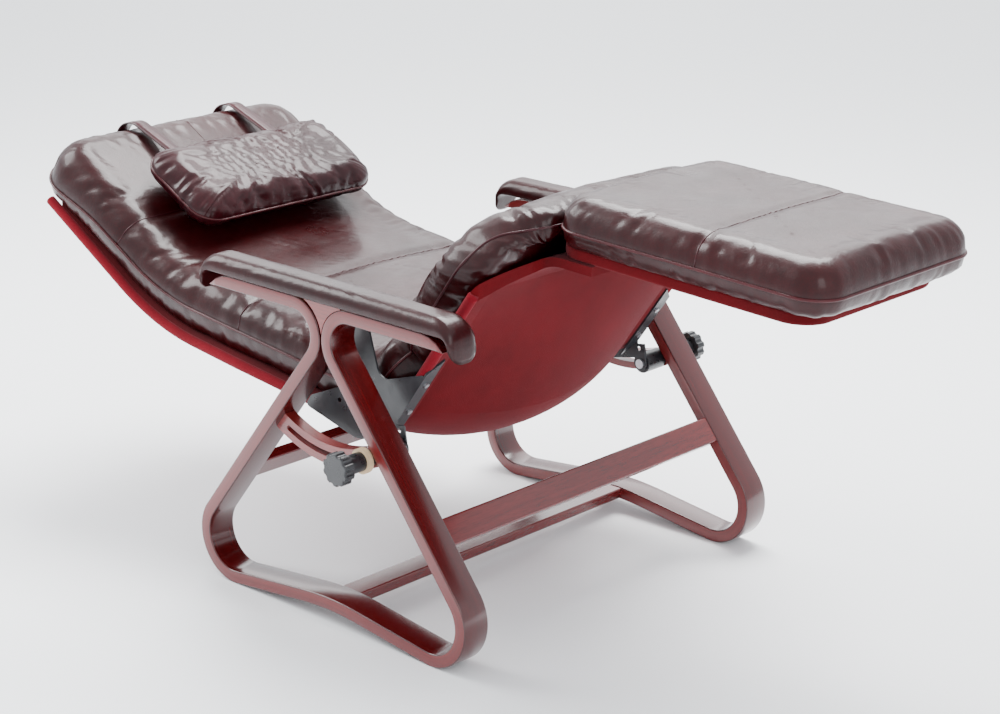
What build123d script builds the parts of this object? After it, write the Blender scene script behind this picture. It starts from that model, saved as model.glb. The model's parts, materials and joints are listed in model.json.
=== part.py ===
"""Zero gravity recliner with bentwood side frames and a tilting upholstered bucket seat.

Millimetres. +X points to the feet, +Y to the sitter's left, +Z up, floor at z = 0.
Drawn with the tilt pivot at x = 0, then every part moves by CENTRE_SHIFT so the whole object is centred.
The seat is drawn fully reclined.
"""

import os
from math import atan2, cos, pi, radians, sin, sqrt, tan

from build123d import *

# ---------------------------------------------------------------- driving dimensions
CENTRE_SHIFT = 32.9
CLEAR = 0.05  # radial clearance of a pin in its hole

# side frames: one laminated strip each, bent into two feet and two arms
SIDE_INNER = 310.0  # |Y| of the inner edge face
STRIP_WIDTH = 50.0
STRIP_THICK = 21.3
ARM_Z = 508.0  # centreline of the arms
REAR_TIP_X = -255.1
FRONT_TIP_X = 258.9
FRAME_LINE = [
    (REAR_TIP_X, ARM_Z),
    (38.5, ARM_Z),
    (-374.2, -6.185),
    (5.2, 35.9),
    (372.4, -6.854),
    (-39.0, ARM_Z),
    (FRONT_TIP_X, ARM_Z),
]
FRAME_RADII = [47.0, 64.6, 520.0, 63.8, 47.4]
TIP_TAPER = 45.0  # the arm ends curve down over this length
WEDGE_GAP = 5.0  # open joint between the neck wedge and the rear bend
WEDGE_END_X = 45.0

# pivot and the curved guide
PIVOT_Z = 500.0
PIVOT_BOLT_D = 10.0
INSERT_D = 14.0
BUSH_D = 24.0
GUIDE_INNER_R = 210.0
GUIDE_OUTER_R = 242.4
GUIDE_R = 226.0
GUIDE_SLOT = 9.0
GUIDE_HALF_ANGLE = 24.5
GUIDE_FACE = 325.0  # |Y| of the guide's inner face
GUIDE_THICK = 20.0
REST_ANGLE = 23.47  # of the clamp bolt, forward of straight down, fully reclined
CLAMP_BOLT_D = 8.0

# stretchers
STRETCHER_WIDE = 44.4
STRETCHER_THICK = 18.0
STRETCHER_Z = 194.0
BOTTOM_STRETCHER = (3.0, 32.6)
DOWEL_D = 8.0
DOWEL_LONG = 50.0
DOWEL_SPREAD = 12.0

# arm pads
PAD_WIDE = 60.0
PAD_TOP_Z = 547.0
PAD_BOARD = (400.0, 46.0, 6.0)
PAD_SCREW_X = [-180.0, -90.0, 90.0, 180.0]
PAD_SCREW_D = 4.5

# seat shell: line of the underside at the rims, head end first
SHELL_LINE = [(-805.0, 513.5), (-514.0, 352.0), (48.0, 291.0), (270.0, 594.8), (365.0, 591.0)]
SHELL_RADII = [500.0, 110.0, 70.0]
SHELL_THICK = 14.0
SHELL_HALF = 275.0
HEAD_HALF = 265.0
KNEE_HALF = 164.0
BELLY_HALF = 245.0  # the sagging middle runs between flat rims
BELLY_DEPTH = 60.0
BELLY_AT_HEAD = 9.0

# legrest board
BOARD_X = (284.0, 745.0)
BOARD_HALF = 160.0
BOARD_THICK = 20.0
BOARD_CORNER = 50.0
BOARD_SLOPE = -2.3
BOARD_UNDER_Z = 606.5  # underside height at x = 340
LEGREST_SCREWS = [(315.0, 105.0), (350.0, 105.0)]

# cushions
CUSHION_UNDER = 15.0  # above the shell's underside line
CUSHION_TOP = 106.0
CUSHION_HALF = 272.0
CROWN = 12.0
VALLEY_RADIUS = 55.0  # where the seat meets the thigh, on top
HEAD_OVERHANG = 45.0
SPLIT_AFTER_SEAT = 130.0  # thigh cushion starts this far up the thigh
KNEE_TOP = (186.0, 655.0)
KNEE_TOP_RADIUS = 110.0
KNEE_END_X = 296.0
KNEE_END_Z = 684.0
LEG_CUSHION_X = (297.0, 783.0)
LEG_CUSHION_HALF = 190.0
LEG_CUSHION_THICK = 76.0

# head pillow and its straps
PILLOW = (187.0, 400.0, 77.0)
PILLOW_CENTRE = (-561.5, 15.0, 562.0)
PILLOW_SLOPE = -27.5
STRAP_WIDE = 28.0
STRAP_THICK = 2.0
STRAP_Y = [-90.0, 130.0]

# side brackets
PLATE_FACE = 278.5  # |Y| of the inner face
PLATE_THICK = 3.0
PLATE_LINE = [
    (15.0, 492.0),
    (45.0, 389.0),
    (147.0, 421.0),
    (81.0, 332.0),
    (80.0, 301.0),
    (6.0, 285.0),
    (-11.0, 282.0),
    (-126.0, 310.0),
    (-112.0, 329.0),
    (-52.0, 355.0),
    (-25.0, 370.0),
    (-15.0, 492.0),
]
PLATE_RADII = [0.0, 20.0, 4.0, 3.0, 5.0, 20.0, 20.0, 6.0, 8.0, 20.0, 20.0, 0.0]
EYE_RADIUS = 16.0
TAB_WIDE = 25.0
# the flange lies under the thigh rim; distances run up the thigh from the seat corner
FLANGE_INNER = 257.0
FLANGE_OUTER_RUN = (52.6, 163.3)
FLANGE_INNER_RUN = (20.3, 188.6)
FLANGE_SCREW_RUN = [72.0, 135.0]
FLANGE_SCREW_Y = 267.0
FLANGE_GAP = 0.2

# clamp knob, measured outward in |Y|
SLEEVE_D = 34.0
SPACER_D = 25.0
WASHER_D = 40.0
KNOB_HUB_D = 30.0
KNOB_D = 52.0
KNOB_SCALLOPS = 10
RUN_GAP = 0.3
SPACER_OUT = 357.0
WASHER_OUT = 366.0
KNOB_HEAD_IN = 401.0
KNOB_OUT = 419.0
BOLT_OUT = 410.0

SIDES = {"right": -1, "left": 1}
SIDE_MID = SIDE_INNER + STRIP_WIDTH / 2
CLAMP_X = GUIDE_R * sin(radians(REST_ANGLE))
CLAMP_Z = PIVOT_Z - GUIDE_R * cos(radians(REST_ANGLE))


# ---------------------------------------------------------------- helpers
def xz(point):
    return Vector(point[0], 0, point[1])


def rounded_path(points, radii):
    """Straight legs joined by tangent arcs, as an ordered list of edges in the XZ plane."""
    edges = []
    start = xz(points[0])
    for before, corner, after, radius in zip(points, points[1:], points[2:], radii):
        if radius == 0:
            edges.append(Edge.make_line(start, xz(corner)))
            start = xz(corner)
            continue
        way_in = (xz(corner) - xz(before)).normalized()
        way_out = (xz(after) - xz(corner)).normalized()
        half_turn = radians(way_in.get_angle(way_out)) / 2
        inward = (way_out - way_in).normalized()
        arc_start = xz(corner) - way_in * radius * tan(half_turn)
        arc_end = xz(corner) + way_out * radius * tan(half_turn)
        arc_mid = xz(corner) + inward * radius * (1 / cos(half_turn) - 1)
        edges.append(Edge.make_line(start, arc_start))
        edges.append(Edge.make_three_point_arc(arc_start, arc_mid, arc_end))
        start = arc_end
    edges.append(Edge.make_line(start, xz(points[-1])))
    return edges


def offset_line(points, distance):
    """The polyline moved sideways, to its left, with mitred corners."""
    moved = []
    for i, point in enumerate(points):
        lefts = []
        for a, b in zip(points[max(i - 1, 0) : i + 1], points[max(i, 1) : i + 2]):
            way = (xz(b) - xz(a)).normalized()
            lefts.append(Vector(-way.Z, 0, way.X))
        mitre = lefts[0] + lefts[-1]
        place = xz(point) + mitre * (2 * distance / mitre.dot(mitre))
        moved.append((place.X, place.Z))
    return moved


def turns_left(points):
    """For each inner corner, +1 where the path turns left and -1 where it turns right."""
    signs = []
    for a, b, c in zip(points, points[1:], points[2:]):
        cross = (b[0] - a[0]) * (c[1] - b[1]) - (b[1] - a[1]) * (c[0] - b[0])
        signs.append(1 if cross > 0 else -1)
    return signs


def band_face(points, radii, half):
    """The area within `half` of a rounded path, with square ends."""
    signs = turns_left(points)
    left_radii = [radius - sign * half for radius, sign in zip(radii, signs)]
    right_radii = [radius + sign * half for radius, sign in zip(radii, signs)]
    left = rounded_path(offset_line(points, half), left_radii)
    right = rounded_path(offset_line(points, -half), right_radii)
    caps = [Edge.make_line(left[0] @ 0, right[0] @ 0), Edge.make_line(left[-1] @ 1, right[-1] @ 1)]
    return Face(Wire(left + right + caps))


def closed_face(points, radii):
    """A closed outline in the XZ plane with its own radius at every corner."""
    middle = ((points[0][0] + points[-1][0]) / 2, (points[0][1] + points[-1][1]) / 2)
    edges = rounded_path([middle] + points + [middle], radii)
    return Face(Wire(edges))


def circle_face(x, z, radius):
    return Face(Wire.make_circle(radius, Plane(origin=(x, 0, z), z_dir=(0, 1, 0))))


def slab(face, side, near, far):
    """The XZ outline as a solid between two |Y| distances on one side."""
    return extrude(Pos(0, side * near, 0) * face, amount=far - near, dir=(0, side, 0))


def pin(x, z, diameter, side, near, far):
    """A round bar along Y."""
    return slab(circle_face(x, z, diameter / 2), side, near, far)


def bar(start, end, diameter):
    """A round bar between two points."""
    start = Vector(start)
    along = Vector(end) - start
    return extrude(Plane(origin=start, z_dir=along) * Circle(diameter / 2), amount=along.length)


def ease(value):
    value = min(max(value, 0.0), 1.0)
    return value * value * (3 - 2 * value)


def belly(x):
    """Sag of the shell's middle below its rims."""
    fall_in = ease((x + 800) / 550)
    fade_out = 1 - ease((x - 110) / 126)
    return max((BELLY_AT_HEAD + (BELLY_DEPTH - BELLY_AT_HEAD) * fall_in) * fade_out, 0.5)


def section(low, high, half, sag, crown, flat=BELLY_HALF):
    """Cross-section of the bucket: flat rims, a sagging middle, and a crowned or sunken top."""
    up = high - low
    height = up.length
    up = up.normalized()
    plane = Plane(origin=low, x_dir=(0, 1, 0), z_dir=(up.Z, 0, -up.X))
    with BuildSketch(plane) as outline:
        with BuildLine():
            Polyline((-flat, 0), (-half, 0), (-half, height), (-flat, height))
            ThreePointArc((-flat, height), (0, height + crown), (flat, height))
            Polyline((flat, height), (half, height), (half, 0), (flat, 0))
            ThreePointArc((flat, 0), (0, -sag), (-flat, 0))
        make_face()
    return outline.sketch.face()


def shares(edge):
    """Where along an edge the loft has its stations: more on arcs than on straight runs."""
    steps = 2 if edge.geom_type == GeomType.LINE else 4
    return [i / steps for i in range(steps + 1)]


def joined(first, second):
    return second if first is None else first + second


saved = {}


def save(node, *shapes):
    """Move the solids of one node to their place and write them."""
    solids = [solid for shape in shapes for solid in shape.solids()]
    placed = [Pos(CENTRE_SHIFT, 0, 0) * solid for solid in solids]
    saved[node] = placed[0] if len(placed) == 1 else Compound(children=placed)
    export_step(saved[node], f"parts/{node}.step")


# ---------------------------------------------------------------- side frames
strip_face = band_face(FRAME_LINE, FRAME_RADII, STRIP_THICK / 2)
wood_top = ARM_Z + STRIP_THICK / 2
tip_radius = (TIP_TAPER**2 + STRIP_THICK**2) / (2 * STRIP_THICK)
for tip_x, inward in ((REAR_TIP_X, 1), (FRONT_TIP_X, -1)):
    corner_x = tip_x + inward * TIP_TAPER / 2
    block = Pos(corner_x, 0, ARM_Z) * Rot(90, 0, 0) * Rectangle(TIP_TAPER, STRIP_THICK)
    round_end = circle_face(tip_x + inward * TIP_TAPER, wood_top - tip_radius, tip_radius)
    strip_face = strip_face - (block - round_end)

rear_out = (xz(FRAME_LINE[1]) - xz(FRAME_LINE[2])).normalized()
front_out = (xz(FRAME_LINE[5]) - xz(FRAME_LINE[4])).normalized()


def bend_centre(corner, leg_way, radius, inward):
    """Centre of the tight bend between an arm and its leg."""
    half_turn = (pi - atan2(leg_way.Z, abs(leg_way.X))) / 2
    return (corner[0] + inward * radius * tan(half_turn), corner[1] - radius)


rear_bend = bend_centre(FRAME_LINE[1], rear_out, FRAME_RADII[0], -1)
front_bend = bend_centre(FRAME_LINE[5], front_out, FRAME_RADII[4], 1)
half_thick = STRIP_THICK / 2
wedge_block = Pos(0, 0, (wood_top + 461) / 2) * Rot(90, 0, 0) * Rectangle(2 * WEDGE_END_X, wood_top - 461)
wedge_face = wedge_block - circle_face(*rear_bend, FRAME_RADII[0] + half_thick + WEDGE_GAP)
wedge_face = wedge_face - circle_face(*front_bend, FRAME_RADII[4] + half_thick)
wedge_face = wedge_face.faces().sort_by(Axis.Z)[-1]

# guide: a ring sector that ends on the inner faces of the two legs
ring = circle_face(0, PIVOT_Z, GUIDE_OUTER_R) - circle_face(0, PIVOT_Z, GUIDE_INNER_R)
guide_face = (ring - strip_face).faces().sort_by(Axis.Z)[0]
slot_ends = []
for sign in (-1, 1):
    angle = radians(sign * GUIDE_HALF_ANGLE)
    slot_ends.append((GUIDE_R * sin(angle), PIVOT_Z - GUIDE_R * cos(angle)))
slot_outer = circle_face(0, PIVOT_Z, GUIDE_R + GUIDE_SLOT / 2)
slot_inner = circle_face(0, PIVOT_Z, GUIDE_R - GUIDE_SLOT / 2)
slot_ring = slot_outer - slot_inner
fan_corners = [xz((0, PIVOT_Z))]
for end in slot_ends:
    fan_corners.append(xz((0, PIVOT_Z)) + (xz(end) - xz((0, PIVOT_Z))) * 2)
fan = Face(Wire.make_polygon(fan_corners))
slot_face = slot_ring & fan
for end in slot_ends:
    slot_face = slot_face + circle_face(*end, GUIDE_SLOT / 2)
guide_face = guide_face - slot_face

# dowels that hold the guide between the legs, square to each leg
guide_dowels = []
for leg_way, corner, face_sign in ((rear_out, FRAME_LINE[1], 1), (front_out, FRAME_LINE[5], -1)):
    toward_guide = Vector(leg_way.Z * face_sign, 0, -leg_way.X * face_sign)
    reach = xz(corner) - xz((0, PIVOT_Z))
    along = reach.dot(leg_way)
    off = reach - leg_way * along
    down = along + sqrt(GUIDE_R**2 - off.length**2)
    centre = xz(corner) - leg_way * down
    face_point = centre + toward_guide * half_thick
    guide_dowels.append((face_point - toward_guide * 11, face_point + toward_guide * 9))

# stretchers
leg_frames = []
for corner, foot in ((FRAME_LINE[1], FRAME_LINE[2]), (FRAME_LINE[5], FRAME_LINE[4])):
    way = (xz(corner) - xz(foot)).normalized()
    x_at = foot[0] + (STRETCHER_Z - foot[1]) * way.X / way.Z
    leg_frames.append((Vector(x_at, 0, STRETCHER_Z), way))
stretcher_places = {
    "rear_stretcher": leg_frames[0],
    "front_stretcher": leg_frames[1],
    "bottom_stretcher": (xz(BOTTOM_STRETCHER), Vector(1, 0, 0)),
}
stretchers = {}
dowels = []
dowel_axes = []
for node, (centre, way) in stretcher_places.items():
    plane = Plane(origin=centre - Vector(0, SIDE_INNER, 0), x_dir=way, z_dir=(0, 1, 0))
    bar_solid = extrude(plane * Rectangle(STRETCHER_WIDE, STRETCHER_THICK), amount=2 * SIDE_INNER)
    bar_solid = fillet(bar_solid.edges().filter_by(Axis.Y), 3)
    for side in SIDES.values():
        for spread in (-DOWEL_SPREAD, DOWEL_SPREAD):
            spot = centre + way * spread
            start = SIDE_INNER - DOWEL_LONG / 2
            end = SIDE_INNER + DOWEL_LONG / 2
            dowels.append(pin(spot.X, spot.Z, DOWEL_D, side, start, end))
            dowel_axes.append((spot, side))
            bar_solid -= pin(spot.X, spot.Z, DOWEL_D + 2 * CLEAR, side, start - 1, end)
    stretchers[node] = bar_solid

# arm pad outline, wrapped down over both arm tips
pad_outline = [
    (REAR_TIP_X - 32, 490),
    (REAR_TIP_X - 28, 536),
    (REAR_TIP_X + 20, PAD_TOP_Z),
    (FRONT_TIP_X - 30, PAD_TOP_Z),
    (FRONT_TIP_X + 22, 530),
    (FRONT_TIP_X + 20, 486),
    (FRONT_TIP_X + 2, 486),
    (FRONT_TIP_X - 12, 505),
    (FRONT_TIP_X - 50, 514),
    (REAR_TIP_X + 50, 514),
    (REAR_TIP_X + 12, 505),
    (REAR_TIP_X - 2, 490),
]
pad_radii = [10, 40, 80, 80, 40, 8, 8, 4, 4, 4, 4, 10]

frames = {}
for name, side in SIDES.items():
    frame = slab(strip_face, side, SIDE_INNER, SIDE_INNER + STRIP_WIDTH)
    long_edges = frame.edges().group_by(Axis.Y)
    frame = chamfer(long_edges[0] + long_edges[-1], 1.2)
    wedge = slab(wedge_face, side, SIDE_INNER, SIDE_INNER + STRIP_WIDTH)
    frame -= pin(0, PIVOT_Z, INSERT_D + 2 * CLEAR, side, SIDE_INNER - 1, 352)
    wedge -= pin(0, PIVOT_Z, INSERT_D + 2 * CLEAR, side, SIDE_INNER - 1, 352)
    for spot, dowel_side in dowel_axes:
        if dowel_side == side:
            dowel_end = SIDE_INNER + DOWEL_LONG / 2 + 1
            frame -= pin(spot.X, spot.Z, DOWEL_D + 2 * CLEAR, side, SIDE_INNER - 1, dowel_end)
    guide = slab(guide_face, side, GUIDE_FACE, GUIDE_FACE + GUIDE_THICK)
    for start, end in guide_dowels:
        shift = Vector(0, side * (GUIDE_FACE + GUIDE_THICK / 2), 0)
        hole = bar(start + shift, end + shift, 6 + 2 * CLEAR)
        frame -= hole
        guide -= hole
    board_centre_z = wood_top + PAD_BOARD[2] / 2
    board = Pos(0, side * SIDE_MID, board_centre_z) * Box(*PAD_BOARD)
    pad_face = closed_face(pad_outline, pad_radii)
    pad = slab(pad_face, side, SIDE_MID - PAD_WIDE / 2, SIDE_MID + PAD_WIDE / 2)
    pad -= slab(strip_face, side, SIDE_INNER - 10, SIDE_INNER + STRIP_WIDTH + 10)
    pad -= slab(wedge_face, side, SIDE_INNER - 10, SIDE_INNER + STRIP_WIDTH + 10)
    pad -= Pos(0, 0, wood_top - 25) * Pos(0, side * SIDE_MID, 0) * Box(400, 70, 50)
    pad -= board
    screws = []
    for screw_x in PAD_SCREW_X:
        under = wood_top - STRIP_THICK
        head = bar((screw_x, side * SIDE_MID, under + 1), (screw_x, side * SIDE_MID, under + 4), 9)
        shank = bar((screw_x, side * SIDE_MID, under + 4), (screw_x, side * SIDE_MID, wood_top + 5), PAD_SCREW_D)
        hole = bar(
            (screw_x, side * SIDE_MID, under - 1), (screw_x, side * SIDE_MID, wood_top + 5.2), PAD_SCREW_D + 2 * CLEAR
        )
        seat_hole = bar((screw_x, side * SIDE_MID, under - 1), (screw_x, side * SIDE_MID, under + 4), 9.2)
        frame -= hole
        frame -= seat_hole
        board -= hole
        screws.append(head + shank)
    frames[name] = {"frame": frame, "wedge": wedge, "guide": guide, "pad": pad, "board": board, "screws": screws}

# ---------------------------------------------------------------- seat shell and board
shell_edges = rounded_path(SHELL_LINE, SHELL_RADII)
shell = None
for edge in shell_edges:
    stations = []
    for share in shares(edge):
        low = edge @ share
        way = edge % share
        sag = belly(low.X)
        stations.append(section(low, low + Vector(-way.Z, 0, way.X) * SHELL_THICK, SHELL_HALF, sag, -sag))
    shell = joined(shell, loft(stations))

# the plan outline rounds the head corners and narrows the shell at the knee
head_end = SHELL_LINE[0][0] - 1
plan_half = [(head_end, HEAD_HALF), (-300, SHELL_HALF), (236, SHELL_HALF), (264, KNEE_HALF), (400, KNEE_HALF)]
with BuildSketch(Plane.XY.offset(100)) as plan:
    with BuildLine():
        Polyline(plan_half + [(x, -y) for x, y in reversed(plan_half)], close=True)
    make_face()
    fillet(plan.vertices().filter_by(lambda v: v.X < head_end + 1), 60)
    fillet(plan.vertices().filter_by(lambda v: 230 < v.X < 300), 16)
shell &= extrude(plan.sketch, amount=700)

board_slope = Rot(0, -BOARD_SLOPE, 0)
board_long = BOARD_X[1] - BOARD_X[0]
board_mid_x = sum(BOARD_X) / 2
board_under = BOARD_UNDER_Z + (board_mid_x - 340) * tan(radians(BOARD_SLOPE))
board_place = Pos(board_mid_x, 0, board_under) * board_slope
with BuildPart() as board_maker:
    with BuildSketch():
        RectangleRounded(board_long, 2 * BOARD_HALF, BOARD_CORNER)
    extrude(amount=BOARD_THICK)
    fillet(board_maker.faces().filter_by(Axis.Z).edges(), 5)
legrest_board = board_place * board_maker.part

legrest_screws = []
for x, y in LEGREST_SCREWS:
    for side in SIDES.values():
        place = board_place * Pos(x - board_mid_x, side * y, 0)
        shank = place * Pos(0, 0, -15.2) * Cylinder(2.5, 30, align=(Align.CENTER, Align.CENTER, Align.MIN))
        head = place * Pos(0, 0, -18.2) * Cylinder(5, 3, align=(Align.CENTER, Align.CENTER, Align.MIN))
        hole = place * Pos(0, 0, -17) * Cylinder(2.5 + CLEAR, 33, align=(Align.CENTER, Align.CENTER, Align.MIN))
        legrest_screws.append(shank + head)
        shell -= hole
        legrest_board -= hole


# ---------------------------------------------------------------- cushions
def cushion(low_edges, high_edges, halves):
    """A cushion between matching edges of an under path and a top path, following the shell's belly."""
    body = None
    for low_edge, high_edge, half_in, half_out in zip(low_edges, high_edges, halves, halves[1:]):
        stations = []
        for share in shares(low_edge):
            low = low_edge @ share
            under_x = low.X + (low_edge % share).Z * CUSHION_UNDER
            half = half_in + (half_out - half_in) * share
            flat = min(BELLY_HALF, 0.9 * half)
            stations.append(section(low, high_edge @ share, half, belly(under_x), CROWN, flat))
        body = joined(body, loft(stations))
    return body


head_way = (xz(SHELL_LINE[1]) - xz(SHELL_LINE[0])).normalized()
thigh_way = (xz(SHELL_LINE[3]) - xz(SHELL_LINE[2])).normalized()
head_up = Vector(-head_way.Z, 0, head_way.X)
thigh_up = Vector(-thigh_way.Z, 0, thigh_way.X)
ridge = xz(SHELL_LINE[0]) - head_way * HEAD_OVERHANG
split = xz(SHELL_LINE[2]) + thigh_way * SPLIT_AFTER_SEAT
seat_line = [(ridge.X, ridge.Z), SHELL_LINE[1], SHELL_LINE[2], (split.X, split.Z)]
under_line = offset_line(seat_line, CUSHION_UNDER)
under_path = rounded_path(under_line, [SHELL_RADII[0] - CUSHION_UNDER, SHELL_RADII[1] - CUSHION_UNDER])
top_path = rounded_path(offset_line(seat_line, CUSHION_TOP), [SHELL_RADII[0] - CUSHION_TOP, VALLEY_RADIUS])
widths = [HEAD_HALF - 1, HEAD_HALF + 1, CUSHION_HALF, CUSHION_HALF, CUSHION_HALF, CUSHION_HALF - 1]
back_cushion = cushion(under_path, top_path, widths)

thigh_low = split + thigh_up * CUSHION_UNDER + thigh_way * 1
thigh_high = split + thigh_up * CUSHION_TOP + thigh_way * 1
board_top_x = 277.0
board_top_z = BOARD_UNDER_Z + BOARD_THICK + 2.0 + (board_top_x - 340) * tan(radians(BOARD_SLOPE))
thigh_low_path = rounded_path(
    [(thigh_low.X, thigh_low.Z), (board_top_x, board_top_z + 1), (KNEE_END_X, board_top_z + 0.5)], [20.0]
)
thigh_high_path = rounded_path(
    [(thigh_high.X, thigh_high.Z), KNEE_TOP, (KNEE_END_X, KNEE_END_Z)], [KNEE_TOP_RADIUS]
)


knee_widths = [CUSHION_HALF - 1, CUSHION_HALF - 12, CUSHION_HALF - 40, LEG_CUSHION_HALF + 6]
thigh_cushion = cushion(thigh_low_path, thigh_high_path, knee_widths)

# the cushions bed exactly on the shell
back_cushion = (back_cushion - shell).solids().sort_by(SortBy.VOLUME)[-1]
thigh_cushion = (thigh_cushion - shell).solids().sort_by(SortBy.VOLUME)[-1]

with BuildPart() as leg_pad_maker:
    with BuildSketch():
        RectangleRounded(LEG_CUSHION_X[1] - LEG_CUSHION_X[0], 2 * LEG_CUSHION_HALF, 45)
    extrude(amount=LEG_CUSHION_THICK)
    fillet(leg_pad_maker.faces().sort_by(Axis.Z)[-1].edges(), 24)
    fillet(leg_pad_maker.faces().sort_by(Axis.Z)[0].edges(), 10)
leg_pad_x = sum(LEG_CUSHION_X) / 2 - board_mid_x
legrest_cushion = board_place * Pos(leg_pad_x, 0, BOARD_THICK + 1) * leg_pad_maker.part

with BuildPart() as pillow_maker:
    with BuildSketch():
        RectangleRounded(PILLOW[0], PILLOW[1], 38)
    extrude(amount=PILLOW[2] / 2, both=True)
    fillet(pillow_maker.faces().filter_by(Axis.Z).edges(), 30)
head_pillow = Pos(*PILLOW_CENTRE) * Rot(0, -PILLOW_SLOPE, 0) * pillow_maker.part

# straps: over the head end of the back cushion and under the shell
strap_line = []
for run, rise in [(50, 125), (-53, 125), (-53, -17), (150, -17)]:
    spot = xz(SHELL_LINE[0]) + head_way * run + head_up * rise
    strap_line.append((spot.X, spot.Z))
strap_face = band_face(strap_line, [25, 25], STRAP_THICK / 2)
straps = []
for y in STRAP_Y:
    straps.append(extrude(Pos(0, y - STRAP_WIDE / 2, 0) * strap_face, amount=STRAP_WIDE, dir=(0, 1, 0)))

# ---------------------------------------------------------------- brackets, pivot and clamp
seat_corner = xz(SHELL_LINE[2])


def under_rim(run, y, rise):
    """A point beneath the thigh rim: distance up the thigh, Y, and height square to it."""
    return seat_corner + thigh_way * run + thigh_up * rise + Vector(0, y, 0)


plate_face = closed_face(PLATE_LINE, PLATE_RADII)
plate_face += circle_face(0, PIVOT_Z, EYE_RADIUS)
tab_root = (84.0, 326.0)
tab_face = band_face([tab_root, (CLAMP_X, CLAMP_Z)], [], TAB_WIDE / 2)
plate_face = plate_face + tab_face + circle_face(CLAMP_X, CLAMP_Z, TAB_WIDE / 2)
plate_face -= circle_face(0, PIVOT_Z, INSERT_D / 2 + CLEAR)
plate_face -= circle_face(CLAMP_X, CLAMP_Z, CLAMP_BOLT_D / 2 + CLEAR)
plate_face -= circle_face(-46, 336, 4)
plate_face -= circle_face(85, 318, 4)

hardware = {}
bracket_screws = []
for name, side in SIDES.items():
    plate = slab(plate_face, side, PLATE_FACE, PLATE_FACE + PLATE_THICK)
    outer_y = side * (PLATE_FACE + PLATE_THICK)
    corners = [
        under_rim(FLANGE_OUTER_RUN[0], outer_y, -FLANGE_GAP),
        under_rim(FLANGE_OUTER_RUN[1], outer_y, -FLANGE_GAP),
        under_rim(FLANGE_INNER_RUN[1], side * FLANGE_INNER, -FLANGE_GAP),
        under_rim(FLANGE_INNER_RUN[0], side * FLANGE_INNER, -FLANGE_GAP),
    ]
    flange = extrude(Face(Wire.make_polygon(corners)), amount=PLATE_THICK, dir=-thigh_up)
    bracket = plate + flange
    for run in FLANGE_SCREW_RUN:
        y = side * FLANGE_SCREW_Y
        shank = bar(under_rim(run, y, -3.2), under_rim(run, y, 11), 4.2)
        head = bar(under_rim(run, y, -6.2), under_rim(run, y, -3.2), 9)
        hole = bar(under_rim(run, y, -5), under_rim(run, y, 11.2), 4.2 + 2 * CLEAR)
        bracket -= hole
        shell -= hole
        bracket_screws.append(shank + head)

    bolt_head = pin(0, PIVOT_Z, 17, side, PLATE_FACE - 8, PLATE_FACE - RUN_GAP)
    pivot_bolt = bolt_head + pin(0, PIVOT_Z, PIVOT_BOLT_D, side, PLATE_FACE - RUN_GAP, 350)
    bush = pin(0, PIVOT_Z, BUSH_D, side, PLATE_FACE + PLATE_THICK, SIDE_INNER - 0.5)
    bush += pin(0, PIVOT_Z, INSERT_D, side, PLATE_FACE, PLATE_FACE + PLATE_THICK)
    bush -= pin(0, PIVOT_Z, PIVOT_BOLT_D + 2 * CLEAR, side, PLATE_FACE - 1, SIDE_INNER + 1)
    insert = pin(0, PIVOT_Z, INSERT_D, side, SIDE_INNER + 2, 350)
    insert -= pin(0, PIVOT_Z, PIVOT_BOLT_D + 2 * CLEAR, side, SIDE_INNER, 351)

    def on_clamp(diameter, near, far):
        return pin(CLAMP_X, CLAMP_Z, diameter, side, near, far)

    bore = on_clamp(CLAMP_BOLT_D + 2 * CLEAR, 270, 412)
    clamp_bolt = on_clamp(16, PLATE_FACE - 4, PLATE_FACE) + on_clamp(CLAMP_BOLT_D, PLATE_FACE, BOLT_OUT)
    sleeve = on_clamp(SLEEVE_D, PLATE_FACE + PLATE_THICK, GUIDE_FACE - RUN_GAP) - bore
    spacer = on_clamp(SPACER_D, GUIDE_FACE + GUIDE_THICK + RUN_GAP, SPACER_OUT) - bore
    washer = on_clamp(WASHER_D, SPACER_OUT, WASHER_OUT) - bore
    grip = on_clamp(KNOB_D, KNOB_HEAD_IN, KNOB_OUT)
    for i in range(KNOB_SCALLOPS):
        angle = 2 * pi * i / KNOB_SCALLOPS
        reach = KNOB_D / 2 + 4
        flute_x = CLAMP_X + reach * cos(angle)
        flute_z = CLAMP_Z + reach * sin(angle)
        grip -= pin(flute_x, flute_z, 13, side, KNOB_HEAD_IN - 1, KNOB_OUT + 1)
    rim_edges = grip.edges().group_by(Axis.Y)
    grip = fillet(rim_edges[0 if side < 0 else -1], 2.5)
    knob = grip + on_clamp(KNOB_HUB_D, WASHER_OUT + RUN_GAP, KNOB_HEAD_IN)
    knob -= on_clamp(12 + 2 * CLEAR, WASHER_OUT, 412)
    knob_insert = on_clamp(12, WASHER_OUT + 2, BOLT_OUT) - bore
    hardware[name] = {
        "bracket": bracket,
        "pivot_bolt": pivot_bolt,
        "bush": bush,
        "insert": insert,
        "bolt": clamp_bolt,
        "sleeve": sleeve,
        "spacer": spacer,
        "washer": washer,
        "knob": knob,
        "knob_insert": knob_insert,
    }

# ---------------------------------------------------------------- files
os.makedirs("parts", exist_ok=True)
for name in SIDES:
    frame = frames[name]
    metal = hardware[name]
    save(f"{name}_side_frame", frame["frame"])
    save(f"{name}_neck_wedge", frame["wedge"])
    save(f"{name}_guide_arc", frame["guide"])
    save(f"{name}_arm_pad", frame["pad"])
    save(f"{name}_arm_pad_board", frame["board"])
    save(f"{name}_seat_bracket", metal["bracket"])
    save(f"{name}_knob", metal["knob"])
    save(f"{name}_knob_insert", metal["knob_insert"])


def both(kind):
    return [hardware[name][kind] for name in SIDES]


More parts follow.
